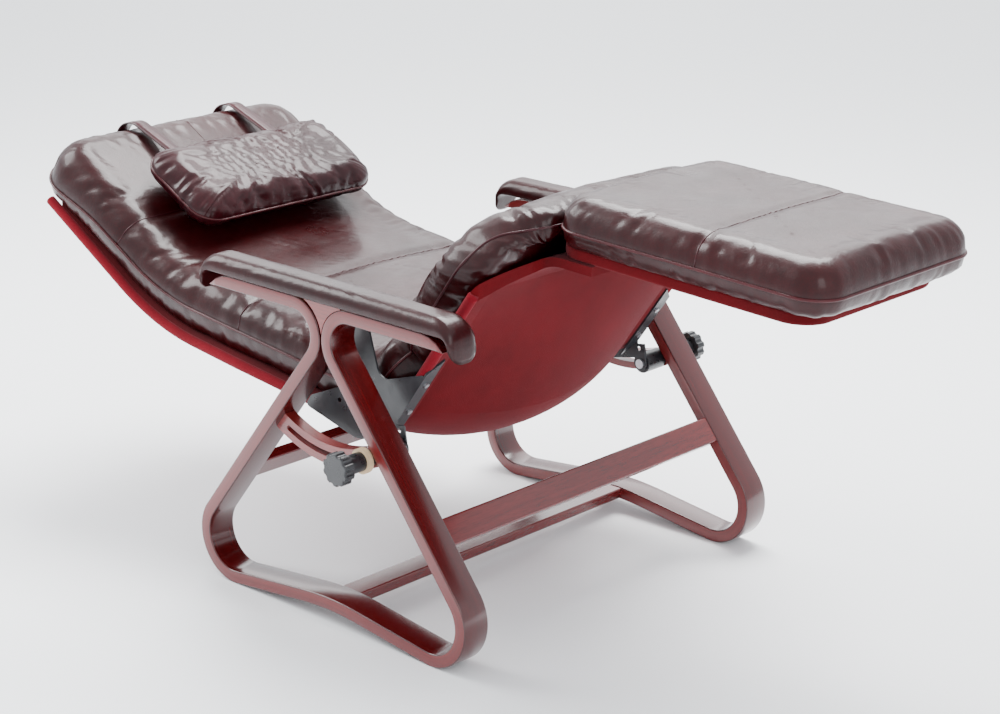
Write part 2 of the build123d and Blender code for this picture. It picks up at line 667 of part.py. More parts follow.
save("arm_pad_screws", *[screw for name in SIDES for screw in frames[name]["screws"]])
guide_pegs = []
for side in SIDES.values():
    shift = Vector(0, side * (GUIDE_FACE + GUIDE_THICK / 2), 0)
    guide_pegs += [bar(start + shift, end + shift, 6) for start, end in guide_dowels]
save("guide_dowels", *guide_pegs)
save("stretcher_dowels", *dowels)
for node, solid in stretchers.items():
    save(node, solid)
save("pivot_bolts", *both("pivot_bolt"))
save("pivot_inserts", *both("insert"))
save("pivot_bushes", *both("bush"))
save("clamp_bolts", *both("bolt"))
save("clamp_sleeves", *both("sleeve"))
save("clamp_spacers", *both("spacer"))
save("friction_washers", *both("washer"))
save("bracket_screws", *bracket_screws)
save("legrest_screws", *legrest_screws)
save("seat_shell", shell)
save("legrest_board", legrest_board)
save("back_cushion", back_cushion)
save("thigh_cushion", thigh_cushion)
save("legrest_cushion", legrest_cushion)
save("pillow_straps", *straps)
save("head_pillow", head_pillow)
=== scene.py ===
"""Looks for the zero gravity recliner. Metres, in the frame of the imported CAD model."""

import json
from math import cos, pi, radians, sin, tan

import bmesh
import bpy
import numpy as np
from mathutils import Matrix, Vector


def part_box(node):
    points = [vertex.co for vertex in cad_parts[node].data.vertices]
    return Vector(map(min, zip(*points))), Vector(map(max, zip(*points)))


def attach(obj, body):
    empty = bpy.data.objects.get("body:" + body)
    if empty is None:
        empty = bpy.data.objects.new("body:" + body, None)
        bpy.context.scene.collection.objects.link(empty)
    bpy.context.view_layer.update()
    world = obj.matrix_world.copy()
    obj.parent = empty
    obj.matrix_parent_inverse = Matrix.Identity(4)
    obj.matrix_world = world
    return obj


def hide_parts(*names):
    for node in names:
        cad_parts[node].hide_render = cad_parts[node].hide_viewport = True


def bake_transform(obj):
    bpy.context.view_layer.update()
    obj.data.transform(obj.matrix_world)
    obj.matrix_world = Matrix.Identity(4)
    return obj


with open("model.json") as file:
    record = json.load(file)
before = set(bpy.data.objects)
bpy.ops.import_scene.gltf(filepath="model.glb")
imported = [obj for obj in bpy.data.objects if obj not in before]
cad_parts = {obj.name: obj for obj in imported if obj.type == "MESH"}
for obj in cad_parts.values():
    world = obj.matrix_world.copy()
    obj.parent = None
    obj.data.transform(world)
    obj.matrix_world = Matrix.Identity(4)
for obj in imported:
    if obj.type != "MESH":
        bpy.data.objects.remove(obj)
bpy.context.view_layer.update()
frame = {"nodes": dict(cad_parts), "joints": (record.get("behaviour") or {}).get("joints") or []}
NODES = frame["nodes"]
JOINTS = {joint["name"]: joint for joint in frame["joints"]}
PIVOT = Vector(JOINTS["seat_tilt"]["pos_m"])
SIDES = {"right": -1, "left": 1}

# ---------------------------------------------------------------- driving dimensions, from the CAD
MM = 0.001
SHELL_LINE = [(-805.0, 513.5), (-514.0, 352.0), (48.0, 291.0), (270.0, 594.8), (365.0, 591.0)]
SHELL_RADII = [500.0, 110.0, 70.0]
FRAME_LINE = [
    (-255.1, 508.0),
    (38.5, 508.0),
    (-374.2, -6.185),
    (5.2, 35.9),
    (372.4, -6.854),
    (-39.0, 508.0),
    (258.9, 508.0),
]
FRAME_RADII = [47.0, 64.6, 520.0, 63.8, 47.4]
STRIP_THICK = 21.3
STRIP_WIDTH = 50.0
SIDE_INNER = 310.0


# ---------------------------------------------------------------- paths in the XZ plane
def unit(v):
    return v / np.linalg.norm(v)


class Path:
    """Straight legs joined by tangent arcs, walked by segment number plus share."""

    def __init__(self, points, radii):
        corners = [np.array(p, float) for p in points]
        self.pieces = []
        start = corners[0]
        for before, corner, after, radius in zip(corners, corners[1:], corners[2:], radii):
            way_in, way_out = unit(corner - before), unit(after - corner)
            turn = np.arctan2(np.cross(way_in, way_out), np.dot(way_in, way_out))
            reach = radius * tan(abs(turn) / 2)
            side = np.sign(turn) * np.array([-way_in[1], way_in[0]])
            arc_start = corner - way_in * reach
            self.pieces.append(("line", start, arc_start))
            self.pieces.append(("arc", arc_start + side * radius, arc_start, turn))
            start = corner + way_out * reach
        self.pieces.append(("line", start, corners[-1]))
        self.count = len(self.pieces)

    def at(self, t):
        """Point at each value of t, as rows of (x, z)."""
        out = np.zeros((len(t), 2))
        index = np.clip(np.floor(t).astype(int), 0, self.count - 1)
        share = t - index
        for i, piece in enumerate(self.pieces):
            pick = index == i
            if piece[0] == "line":
                out[pick] = piece[1] + (piece[2] - piece[1]) * share[pick, None]
            else:
                centre, first, turn = piece[1:]
                angle = share[pick] * turn
                arm = first - centre
                out[pick, 0] = centre[0] + arm[0] * np.cos(angle) - arm[1] * np.sin(angle)
                out[pick, 1] = centre[1] + arm[0] * np.sin(angle) + arm[1] * np.cos(angle)
        return out


def offset_line(points, distance):
    """The polyline moved to its left, with mitred corners."""
    corners = [np.array(p, float) for p in points]
    moved = []
    for i, point in enumerate(corners):
        lefts = []
        for a, b in zip(corners[max(i - 1, 0) : i + 1], corners[max(i, 1) : i + 2]):
            way = unit(b - a)
            lefts.append(np.array([-way[1], way[0]]))
        mitre = lefts[0] + lefts[-1]
        moved.append(tuple(point + mitre * (2 * distance / np.dot(mitre, mitre))))
    return moved


class Slab:
    """The space between an under path and a top path, measured by length, y and height share."""

    def __init__(self, low, high, samples=400):
        self.low, self.high = low, high
        t = np.linspace(0, low.count, samples)
        middle = (low.at(t) + high.at(t)) / 2
        steps = np.linalg.norm(np.diff(middle, axis=0), axis=1)
        self.t = t
        self.s = np.concatenate([[0], np.cumsum(steps)])
        self.length = self.s[-1]

    def place(self, s, y, height):
        """World points in metres for arrays of length, y and height share (0 on the under path, 1 on top)."""
        t = np.interp(s, self.s, self.t)
        low, high = self.low.at(t), self.high.at(t)
        spot = low + (high - low) * height[:, None]
        beyond = np.clip(s, None, 0) + np.clip(s - self.length, 0, None)
        nudge = 1e-3
        t2 = np.interp(np.clip(s, 0, self.length) + nudge * self.length, self.s, self.t)
        t1 = np.interp(np.clip(s, 0, self.length) - nudge * self.length, self.s, self.t)
        run = (self.low.at(t2) + self.high.at(t2)) / 2 - (self.low.at(t1) + self.high.at(t1)) / 2
        run /= np.linalg.norm(run, axis=1)[:, None]
        spot += run * beyond[:, None]
        return np.column_stack([spot[:, 0] * MM + PIVOT.x, y * MM, spot[:, 1] * MM])


# ---------------------------------------------------------------- materials
class Shader:
    """A Principled material whose nodes are added by short calls."""

    def __init__(self, name, **values):
        self.material = bpy.data.materials.new(name)
        self.material.use_nodes = True
        self.tree = self.material.node_tree
        self.surface = self.tree.nodes["Principled BSDF"]
        self.set(self.surface, values)
        self.height = None

    def set(self, node, values):
        for key, value in values.items():
            socket = node.inputs[key.replace("_", " ")] if isinstance(key, str) else node.inputs[key]
            if isinstance(value, bpy.types.NodeSocket):
                self.tree.links.new(value, socket)
            else:
                socket.default_value = value

    def node(self, kind, settings=None, **values):
        node = self.tree.nodes.new("ShaderNode" + kind)
        for key, value in (settings or {}).items():
            setattr(node, key, value)
        self.set(node, values)
        return node

    def place(self, scale=(1, 1, 1), source="Object", rotation=(0, 0, 0)):
        coords = self.node("TexCoord")
        mapping = self.node("Mapping", Vector=coords.outputs[source], Scale=scale, Rotation=rotation)
        return mapping.outputs[0]

    def noise(self, scale, detail=4.0, where=None, rough=0.5, distortion=0.0):
        where = where or self.place()
        values = dict(Vector=where, Scale=scale, Detail=detail, Roughness=rough, Distortion=distortion)
        return self.node("TexNoise", **values).outputs["Fac"]

    def ramp(self, value, *stops):
        node = self.node("ValToRGB", Fac=value)
        while len(node.color_ramp.elements) < len(stops):
            node.color_ramp.elements.new(0.5)
        for element, (position, color) in zip(node.color_ramp.elements, stops):
            element.position = position
            element.color = (*color, 1) if len(color) == 3 else color
        return node.outputs["Color"]

    def map(self, value, low, high, to_low, to_high):
        values = {"Value": value, "From_Min": low, "From_Max": high, "To_Min": to_low, "To_Max": to_high}
        return self.node("MapRange", **values).outputs[0]

    def mix(self, factor, first, second, mode="MIX"):
        node = self.node("Mix", {"data_type": "RGBA", "blend_type": mode})
        self.set(node, {"Factor": factor})
        for socket, value in ((node.inputs[6], first), (node.inputs[7], second)):
            if isinstance(value, bpy.types.NodeSocket):
                self.tree.links.new(value, socket)
            else:
                socket.default_value = (*value, 1)
        return node.outputs[2]

    def bump(self, height, distance, strength=1.0):
        values = dict(Height=height, Distance=distance, Strength=strength)
        if self.height is not None:
            values["Normal"] = self.height
        self.height = self.node("Bump", **values).outputs[0]
        self.set(self.surface, {"Normal": self.height})


def leather(name, dark, light, crease=1.0, stretch=(1, 1, 1)):
    """Glossy upholstery leather: mottled dye, pebbled grain, fine creases and worn sheen."""
    shader = Shader(name, IOR=1.45)
    shader.surface.inputs["Coat Weight"].default_value = 0.22
    shader.surface.inputs["Coat Roughness"].default_value = 0.14
    shader.surface.inputs["Specular IOR Level"].default_value = 0.22
    cloud = shader.noise(5.0, 5.0, rough=0.6)
    fine = shader.noise(90.0, 3.0)
    color = shader.ramp(cloud, (0.3, dark), (0.72, light))
    speck = shader.ramp(fine, (0.35, (0.86, 0.84, 0.84)), (0.65, (1.12, 1.08, 1.08)))
    color = shader.mix(1.0, color, speck, "MULTIPLY")
    gloss = shader.noise(14.0, 4.0)
    shader.set(shader.surface, {"Base_Color": color, "Roughness": shader.map(gloss, 0.3, 0.7, 0.27, 0.42)})
    long_way = shader.place(stretch)
    folds = shader.noise(26.0 * crease, 5.0, long_way, 0.62, 0.9)
    shader.bump(folds, 0.0028, 0.16)
    creases = shader.noise(110.0, 4.0, long_way, 0.6, 1.4)
    shader.bump(shader.map(creases, 0.42, 0.56, 0, 1), 0.0005, 0.16)
    pebble = shader.node("TexVoronoi", Vector=shader.place(), Scale=700.0)
    shader.bump(pebble.outputs["Distance"], 0.00025, 0.30)
    return shader.material


def felt(name, dark, light):
    """Napped felt: short fibres, a brushed cloudiness and a soft sheen."""
    shader = Shader(name, Roughness=0.95)
    shader.surface.inputs["Sheen Weight"].default_value = 0.12
    shader.surface.inputs["Sheen Roughness"].default_value = 0.5
    shader.surface.inputs["Sheen Tint"].default_value = (1.0, 0.45, 0.5, 1)
    shader.surface.inputs["Specular IOR Level"].default_value = 0.15
    brushed = shader.noise(9.0, 6.0, rough=0.65)
    fibre = shader.noise(1400.0, 2.0)
    color = shader.ramp(brushed, (0.3, dark), (0.7, light))
    fleck = shader.ramp(fibre, (0.3, (0.75, 0.7, 0.7)), (0.7, (1.2, 1.15, 1.15)))
    shader.set(shader.surface, {"Base_Color": shader.mix(1.0, color, fleck, "MULTIPLY")})
    shader.bump(shader.noise(500.0, 3.0), 0.0008, 0.5)
    shader.bump(fibre, 0.0004, 0.5)
    return shader.material


def stained_wood(name, dark, light, grain_axis, gloss=0.24):
    """Lacquered wood under red stain, with pores drawn out along the grain."""
    shader = Shader(name, Roughness=gloss)
    shader.surface.inputs["Coat Weight"].default_value = 0.5
    shader.surface.inputs["Coat Roughness"].default_value = 0.12
    scale = [22.0, 22.0, 22.0]
    scale[grain_axis] = 1.2
    where = shader.place(scale)
    figure = shader.noise(3.0, 6.0, where, 0.6, 0.6)
    pores = shader.noise(26.0, 4.0, where, 0.7)
    color = shader.ramp(figure, (0.3, dark), (0.7, light))
    pore_shade = shader.ramp(pores, (0.36, (0.62, 0.5, 0.5)), (0.52, (1, 1, 1)))
    shader.set(shader.surface, {"Base_Color": shader.mix(1.0, color, pore_shade, "MULTIPLY")})
    shader.bump(pores, 0.0002, 0.35)
    return shader.material


def strip_wood(name, dark, light, gloss, plies):
    """The bent strip: grain follows the bend through UV (metres), with ply lines on its edge faces."""
    shader = Shader(name, Roughness=gloss)
    shader.surface.inputs["Coat Weight"].default_value = 0.45
    shader.surface.inputs["Coat Roughness"].default_value = 0.14
    along = shader.place((1.3, 60, 1), "UV")
    figure = shader.noise(4.0, 6.0, along, 0.6, 0.4)
    pores = shader.noise(30.0, 3.0, shader.place((2.2, 60, 1), "UV"), 0.7)
    color = shader.ramp(figure, (0.3, dark), (0.7, light))
    pore_shade = shader.ramp(pores, (0.34, (0.66, 0.52, 0.52)), (0.5, (1, 1, 1)))
    color = shader.mix(1.0, color, pore_shade, "MULTIPLY")
    if plies:
        wobble = shader.noise(3.0, 2.0, shader.place((9, 0, 1), "UV"))
        parts = shader.node("SeparateXYZ", Vector=shader.place((1, 1 / (plies * MM), 1), "UV"))
        lines = shader.node("Math", {"operation": "FRACT"})
        shader.tree.links.new(parts.outputs["Y"], lines.inputs[0])
        glue = shader.map(lines.outputs[0], 0.0, 0.16, 0, 1)
        shade = shader.ramp(glue, (0.0, (0.55, 0.45, 0.45)), (1.0, (1, 1, 1)))
        lined = shader.mix(1.0, color, shade, "MULTIPLY")
        color = shader.mix(shader.map(wobble, 0.2, 0.8, 0.35, 0.9), color, lined)
    shader.set(shader.surface, {"Base_Color": color})
    shader.bump(pores, 0.00018, 0.3)
    return shader.material


def coated_metal(name, color, roughness, metallic=0.0):
    """Powder-coated or plated metal with fine orange peel and rubbed patches."""
    shader = Shader(name, Metallic=metallic)
    cloud = shader.noise(30.0, 4.0)
    light = tuple(min(1.0, c * 1.5 + 0.01) for c in color)
    shader.set(
        shader.surface,
        {
            "Base_Color": shader.ramp(cloud, (0.3, color), (0.8, light)),
            "Roughness": shader.map(shader.noise(60.0, 3.0), 0.3, 0.7, roughness - 0.06, roughness + 0.08),
        },
    )
    shader.bump(shader.noise(900.0, 2.0), 0.0001, 0.4)
    return shader.material


LEATHER = leather("leather_main", (0.013, 0.0002, 0.0007), (0.028, 0.0005, 0.0013))
LEATHER_PILLOW = leather("leather_pillow", (0.015, 0.0002, 0.0015), (0.032, 0.0007, 0.0030), 1.5)
LEATHER_WELT = leather("leather_welt", (0.035, 0.003, 0.005), (0.06, 0.006, 0.009))
LEATHER_STRAP = leather("leather_strap", (0.024, 0.0016, 0.004), (0.046, 0.0036, 0.007), 0.7)
FELT = felt("felt_shell", (0.070, 0.0005, 0.0020), (0.110, 0.0010, 0.0036))
# felt for the rolled rims: the shell's felt painted lighter, a painted highlight for the light the rolled edge
# catches
FELT_PAINTED_LIT_EDGE = felt("felt_painted_lit_edge", (0.130, 0.0022, 0.0070), (0.195, 0.0045, 0.0130))
WOOD_FACE = strip_wood("wood_face", (0.040, 0.0010, 0.0014), (0.075, 0.0024, 0.0028), 0.22, 0)
WOOD_EDGE = strip_wood("wood_edge", (0.105, 0.0038, 0.0042), (0.165, 0.0075, 0.0072), 0.36, 1.9)
WOOD_RAIL = stained_wood("wood_rail", (0.085, 0.004, 0.005), (0.14, 0.008, 0.0085), 1)
WOOD_GUIDE = stained_wood("wood_guide", (0.14, 0.008, 0.008), (0.23, 0.02, 0.017), 0, 0.3)
PLYWOOD = stained_wood("plywood", (0.45, 0.33, 0.2), (0.6, 0.46, 0.3), 0, 0.6)
STEEL_BLACK = coated_metal("steel_black", (0.012, 0.013, 0.016), 0.32)
PLASTIC_BLACK = coated_metal("plastic_black", (0.010, 0.010, 0.012), 0.3)
ZINC = coated_metal("zinc", (0.45, 0.45, 0.47), 0.35, 1.0)
BRASS = coated_metal("brass_turned", (0.6, 0.42, 0.16), 0.3, 1.0)
TAN = coated_metal("tan_disc", (0.5, 0.36, 0.22), 0.7)
NODE_MATERIAL = {
    "neck_wedge": WOOD_GUIDE,
    "guide_arc": WOOD_GUIDE,
    "arm_pad_board": PLYWOOD,
    "seat_bracket": STEEL_BLACK,
    "knob": PLASTIC_BLACK,
    "knob_insert": BRASS,
    "stretcher": WOOD_RAIL,
    "dowels": PLYWOOD,
    "screws": ZINC,
    "pivot_bolts": ZINC,
    "clamp_bolts": ZINC,
    "pivot_inserts": BRASS,
    "pivot_bushes": PLASTIC_BLACK,
    "clamp_sleeves": PLASTIC_BLACK,
    "clamp_spacers": PLASTIC_BLACK,
    "friction_washers": TAN,
    "seat_shell": FELT,
    "legrest_board": FELT,
}
for node, obj in NODES.items():
    for ending, material in NODE_MATERIAL.items():
        if node.endswith(ending):
            for holder in obj.material_slots:
                holder.material = material


# ---------------------------------------------------------------- mesh helpers
def piece(name, points, faces, materials, body, slot, face_materials=None, smooth=True):
    """A mesh object that rides on a CAD body, or on none."""
    mesh = bpy.data.meshes.new(name)
    mesh.from_pydata([tuple(p) for p in points], [], [tuple(f) for f in faces])
    mesh.update()
    obj = bpy.data.objects.new(name, mesh)
    bpy.context.scene.collection.objects.link(obj)
    for material in materials:
        mesh.materials.append(material)
    if face_materials is not None:
        mesh.polygons.foreach_set("material_index", np.array(face_materials, dtype=np.int32))
    if smooth:
        mesh.polygons.foreach_set("use_smooth", np.ones(len(mesh.polygons), dtype=bool))
    if body:
        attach(obj, body)
    return obj


def strip_frame(name, side):
    """One bent side frame swept along its centreline, with UV along and around the strip."""
    path = Path(FRAME_LINE, FRAME_RADII)
    stops = []
    for i, part in enumerate(path.pieces):
        if part[0] == "line":
            length = np.linalg.norm(part[2] - part[1])
            count = max(2, int(length / 14))
        else:
            count = max(3, int(abs(part[3]) * 57.3 / 2.5))
        stops += [i + k / count for k in range(count)]
    stops = np.array(stops + [path.count])
    spots = path.at(stops)
    lefts = lefts_along(spots)
    run = np.concatenate([[0], np.cumsum(np.linalg.norm(np.diff(spots, axis=0), axis=1))])
    taper_radius = (45.0**2 + STRIP_THICK**2) / (2 * STRIP_THICK)
    from_end = np.minimum(run, run[-1] - run)
    into = np.clip(45.0 - from_end, 0, 45)
    drop = taper_radius - np.sqrt(taper_radius**2 - into**2)
    half = STRIP_THICK / 2
    r = 2.0
    points, uvs, rings = [], [], []
    for spot, left, s, fall in zip(spots, lefts, run, drop):
        top = half - min(fall, STRIP_THICK - 1.0)
        corner = min(r, (top + half) / 2.2)
        ring = []
        for cy, ch, start in ((1, 1, 0), (-1, 1, 90), (-1, -1, 180), (1, -1, 270)):
            for k in range(4):
                angle = radians(start + 30 * k)
                y = cy * (STRIP_WIDTH / 2 - corner) + corner * cos(angle)
                h = (top - corner if ch > 0 else -half + corner) + corner * sin(angle)
                ring.append((y, h))
        first = len(points)
        for k, (y, h) in enumerate(ring):
            place = spot + left * h
            points.append(
                (place[0] * MM + PIVOT.x, side * (SIDE_INNER + STRIP_WIDTH / 2 + y) * MM, place[1] * MM)
            )
            uvs.append((s * MM, h * MM, y * MM))
        rings.append(first)
    n = 16
    faces, kinds = [], []
    for a, b in zip(rings, rings[1:]):
        for k in range(n):
            faces.append((a + k, a + (k + 1) % n, b + (k + 1) % n, b + k))
            kinds.append(1 if k in (15, 7) else 0)
    faces.append(tuple(rings[0] + k for k in range(n))[::-1])
    faces.append(tuple(rings[-1] + k for k in range(n)))
    kinds += [1, 1]
    obj = piece(name, points, faces, [WOOD_FACE, WOOD_EDGE], "base_frame", "stained_wood", kinds)
    layer = obj.data.uv_layers.new(name="UVMap")
    for polygon in obj.data.polygons:
        edge_face = polygon.material_index == 1
        for loop in polygon.loop_indices:
            s, h, y = uvs[obj.data.loops[loop].vertex_index]
            layer.data[loop].uv = (s, h + 0.02 if edge_face else y)
    normals_outward(obj)
    return obj


def rows_of(mesh, what):
    """One row of three numbers for each vertex: its place or its normal."""
    flat = np.empty(len(mesh.vertices) * 3)
    mesh.vertices.foreach_get(what, flat)
    return flat.reshape(-1, 3)


def lefts_along(spots):
    """The direction to the left of a path at each of its points."""
    ways = np.gradient(spots, axis=0)
    ways /= np.linalg.norm(ways, axis=1)[:, None]
    return np.column_stack([-ways[:, 1], ways[:, 0]])


def normals_outward(obj):
    bm = bmesh.new()
    bm.from_mesh(obj.data)
    bmesh.ops.recalc_face_normals(bm, faces=bm.faces)
    bm.to_mesh(obj.data)
    bm.free()


for name, side in SIDES.items():
    strip = strip_frame(f"{name}_bent_strip", side)
    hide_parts(f"{name}_side_frame")


# ---------------------------------------------------------------- cushions
def edge_dense(count, share):
    """Values from -1 to 1 that crowd towards both ends."""
    x = np.linspace(-1, 1, count)
    return x * (1 - share) + np.sin(x * pi / 2) * share


def rounded_rectangle(u, v, a, b, r):
    """Map the square to a rectangle of half sizes a, b and corner radius r; also give the depth from its edge."""
    x, y = u * a, v * b
    level = np.maximum(np.abs(u), np.abs(v))
    corner = level * r
    over_x = np.abs(x) - (level * a - corner)
    over_y = np.abs(y) - (level * b - corner)
    inside = (over_x > 0) & (over_y > 0)
    reach = np.hypot(over_x, over_y)
    shrink = np.where(inside & (reach > 1e-9), corner / np.maximum(reach, 1e-9), 1.0)
    shrink = np.minimum(shrink, 1.0)
    x = np.where(inside, np.sign(x) * (np.abs(x) - over_x + over_x * shrink), x)
    y = np.where(inside, np.sign(y) * (np.abs(y) - over_y + over_y * shrink), y)
    qx, qy = np.abs(x) - (a - r), np.abs(y) - (b - r)
    outside = np.hypot(np.maximum(qx, 0), np.maximum(qy, 0))
    depth = r - (outside + np.minimum(np.maximum(qx, qy), 0))
    return x, y, np.maximum(depth, 0)


def bulge(depth, reach, power):
    """0 at the seam, 1 once `reach` inside it, leaving the seam square to the surface."""
    t = np.clip(1 - depth / reach, 0, 1)
    return (1 - t**power) ** (1 / power)


GATHER_PEAK = 7.0
GATHER_FADE = 0.55


class Cushion:
    """Two leather sheets sewn around their edge, laid in the space of a Slab."""

    def __init__(self, slab, start, end, half, corner, cells, top_reach, low_reach, power=2.2):
        self.slab, self.start, self.end = slab, start, end
        self.nu, self.nv = cells
        u, v = np.meshgrid(edge_dense(self.nu, 0.35), edge_dense(self.nv, 0.45), indexing="ij")
        self.u, self.v = u.ravel(), v.ravel()
        middle, a = (start + end) / 2, (end - start) / 2
        self.x, self.y, self.depth = rounded_rectangle(self.u, self.v, a, half, corner)
        self.s = self.x + middle
        self.top_share = bulge(self.depth, top_reach, power)
        self.low_share = bulge(self.depth, low_reach, power)
        self.edge = (np.abs(self.u) > 0.9999) | (np.abs(self.v) > 0.9999)
        level = np.maximum(np.maximum(np.abs(self.u), np.abs(self.v)), 1e-6)
        u, v = self.u / level, self.v / level
        on_side = 0.999999
        around = np.where(v > on_side, u * a, a + (1 - v) * half)
        around = np.where(v < -on_side, a + 2 * half + (1 - u) * a, around)
        on_start = (u < -on_side) & (np.abs(v) < on_side)
        self.around = np.where(on_start, 3 * a + 2 * half + (1 + v) * half, around)
        self.girth = 4 * (a + half)

    def build(self, name, seam, top, low, body="seat", slot="leather", material=LEATHER, widen=None,
              gather=1.2, wave=22.0, seed=3):
        """seam, top and low give the height share of each sheet at (s, y); gather is in millimetres."""
        s, y = self.s, self.y if widen is None else self.y * widen(self.s)
        seam_h = seam(s, y)
        top_h = seam_h + (top(s, y) - seam_h) * self.top_share
        low_h = seam_h + (low(s, y) - seam_h) * self.low_share
        count = self.nu * self.nv
        upper = self.slab.place(s, y, top_h)
        lower = self.slab.place(s, y, low_h)
        keep = np.full(count, -1)
        inner = np.where(~self.edge)[0]
        keep[inner] = count + np.arange(len(inner))
        keep[self.edge] = np.where(self.edge)[0]
        points = np.vstack([upper, lower[inner]])
        faces = []
        for i in range(self.nu - 1):
            for j in range(self.nv - 1):
                a, b = i * self.nv + j, (i + 1) * self.nv + j
                faces.append((a, b, b + 1, a + 1))
                faces.append((keep[a], keep[a + 1], keep[b + 1], keep[b]))
        self.obj = piece(name, points, faces, [material], body, slot)
        normals_outward(self.obj)
        around = np.concatenate([self.around, self.around[inner]])
        depth = np.concatenate([self.depth, self.depth[inner]])
        ripples = gathers(around, self.girth, wave, seed)
        self.pull(ripples * gather * (depth / GATHER_PEAK) * np.exp(1 - depth / GATHER_PEAK * GATHER_FADE))
        self.all_depth = depth
        return self.obj

    def hold(self):
        """Pin weight: all of it on the seam, none beside the seam, some in the flat middle."""
        return np.where(self.all_depth < 0.01, 1.0, 0.6 * ease((self.all_depth - 35) / 60))

    def points(self):
        return rows_of(self.obj.data, "co")

    def pull(self, distance):
        """Move each point along its normal, in millimetres."""
        moved = self.points() + rows_of(self.obj.data, "normal") * distance[:, None] * MM
        self.obj.data.vertices.foreach_set("co", moved.ravel())
        self.obj.data.update()

    def groove(self, s_at, deep, wide):
        """A sewn valley across the top sheet."""
        sheet = np.zeros(len(self.obj.data.vertices))
        sheet[: len(self.s)] = -deep * np.exp(-(((self.s - s_at) / wide) ** 2)) * self.top_share
        self.pull(sheet)

    def row(self, s_at):
        """The line across the top sheet nearest to s_at."""
        index = int(np.argmin(np.abs(self.s[self.nv // 2 :: self.nv] - s_at)))
        return self.points()[index * self.nv : (index + 1) * self.nv]

    def column(self, y_at, s_end):
        """The line along the top sheet nearest to y_at, from its start to s_end."""
        middle = self.nu // 2 * self.nv
        index = int(np.argmin(np.abs(self.y[middle : middle + self.nv] - y_at)))
        line = np.arange(self.nu) * self.nv + index
        return self.points()[line[self.s[line] <= s_end]]

    def ring(self):
        """The sewn edge, once around."""
        nu, nv = self.nu, self.nv
        order = [i * nv + nv - 1 for i in range(nu)] + [(nu - 1) * nv + j for j in range(nv - 2, -1, -1)]
        order += [i * nv for i in range(nu - 2, -1, -1)] + list(range(1, nv - 1))
        return self.points()[order]


def gathers(around, girth, wave, seed):
    """Uneven ripples along a seam, closed around its girth."""
    rng = np.random.default_rng(seed)
    total = np.zeros_like(around)
    for _ in range(14):
        count = max(1, round(girth / (wave * rng.uniform(0.65, 2.4))))
        total += np.sin(2 * pi * count * around / girth + rng.uniform(0, 2 * pi))
    patches = 0.45 + 0.55 * np.sin(2 * pi * 5 * around / girth + seed) * np.sin(2 * pi * 9 * around / girth)
    return total / 3.2 * patches


CLOTH_FRAMES = 18
CLOTH_CAP = 0.022  # metres that a point may move


def settle(cushions):
    """Cloth simulation: the sewn edge is pinned, and leather cut a little large is blown out from inside."""
    for cushion, shrink in cushions:
        group = cushion.obj.vertex_groups.new(name="held")
        for number, weight in enumerate(cushion.hold()):
            group.add([number], float(weight), "REPLACE")
        cloth = cushion.obj.modifiers.new("leather", "CLOTH").settings
        cloth.quality = 5
        cloth.mass = 0.25
        cloth.tension_stiffness = cloth.compression_stiffness = 14
        cloth.shear_stiffness = 6
        cloth.bending_stiffness = 0.3
        cloth.effector_weights.gravity = 0
        cloth.vertex_group_mass = "held"
        cloth.pin_stiffness = 0.6
        cloth.shrink_min = -shrink
        cloth.use_pressure = True
        cloth.uniform_pressure_force = 2.0
    for number in range(1, CLOTH_FRAMES + 1):
        bpy.context.scene.frame_set(number)
    graph = bpy.context.evaluated_depsgraph_get()
    for cushion, _ in cushions:
        start = cushion.points()
        move = rows_of(cushion.obj.evaluated_get(graph).data, "co") - start
        far = np.linalg.norm(move, axis=1)[:, None]
        move *= np.minimum(1, CLOTH_CAP / np.maximum(far, 1e-9))
        cushion.obj.modifiers.clear()
        cushion.obj.data.vertices.foreach_set("co", (start + move).ravel())
        cushion.obj.data.update()
    bpy.context.scene.frame_set(1)


def tube(name, line, radius, material, body, closed=False, slot="leather", sides=8):
    """A round cord along world points."""
    line = np.array(line)
    if closed:
        ways = np.roll(line, -1, 0) - np.roll(line, 1, 0)
    else:
        ways = np.gradient(line, axis=0)
    ways /= np.linalg.norm(ways, axis=1)[:, None] + 1e-12
    up = np.where(np.abs(ways[:, 2:3]) > 0.9, [[1.0, 0, 0]], [[0, 0, 1.0]])
    across = np.cross(ways, up)
    across /= np.linalg.norm(across, axis=1)[:, None]
    lift = np.cross(across, ways)
    angles = np.arange(sides) * 2 * pi / sides
    rings = line[:, None] + radius * MM * (
        across[:, None] * np.cos(angles)[None, :, None] + lift[:, None] * np.sin(angles)[None, :, None]
    )
    n = len(line)
    faces = []
    for i in range(n if closed else n - 1):
        a, b = i * sides, (i + 1) % n * sides
        faces += [(a + k, a + (k + 1) % sides, b + (k + 1) % sides, b + k) for k in range(sides)]
    if not closed:
        faces += [tuple(range(sides))[::-1], tuple((n - 1) * sides + k for k in range(sides))]
    obj = piece(name, rings.reshape(-1, 3), faces, [material], body, slot)
    normals_outward(obj)
    return obj


def constant(value):
    return lambda s, y: np.full(len(s), float(value))


def ease(value):
    value = np.clip(value, 0, 1)
    return value * value * (3 - 2 * value)


def across(y, half):
    """1 in the middle, falling as a parabola to 0 at half."""
    return np.clip(1 - (y / half) ** 2, 0, 1)


def crowned(half, crown):
    return lambda s, y: 1.0 + crown * across(y, half)


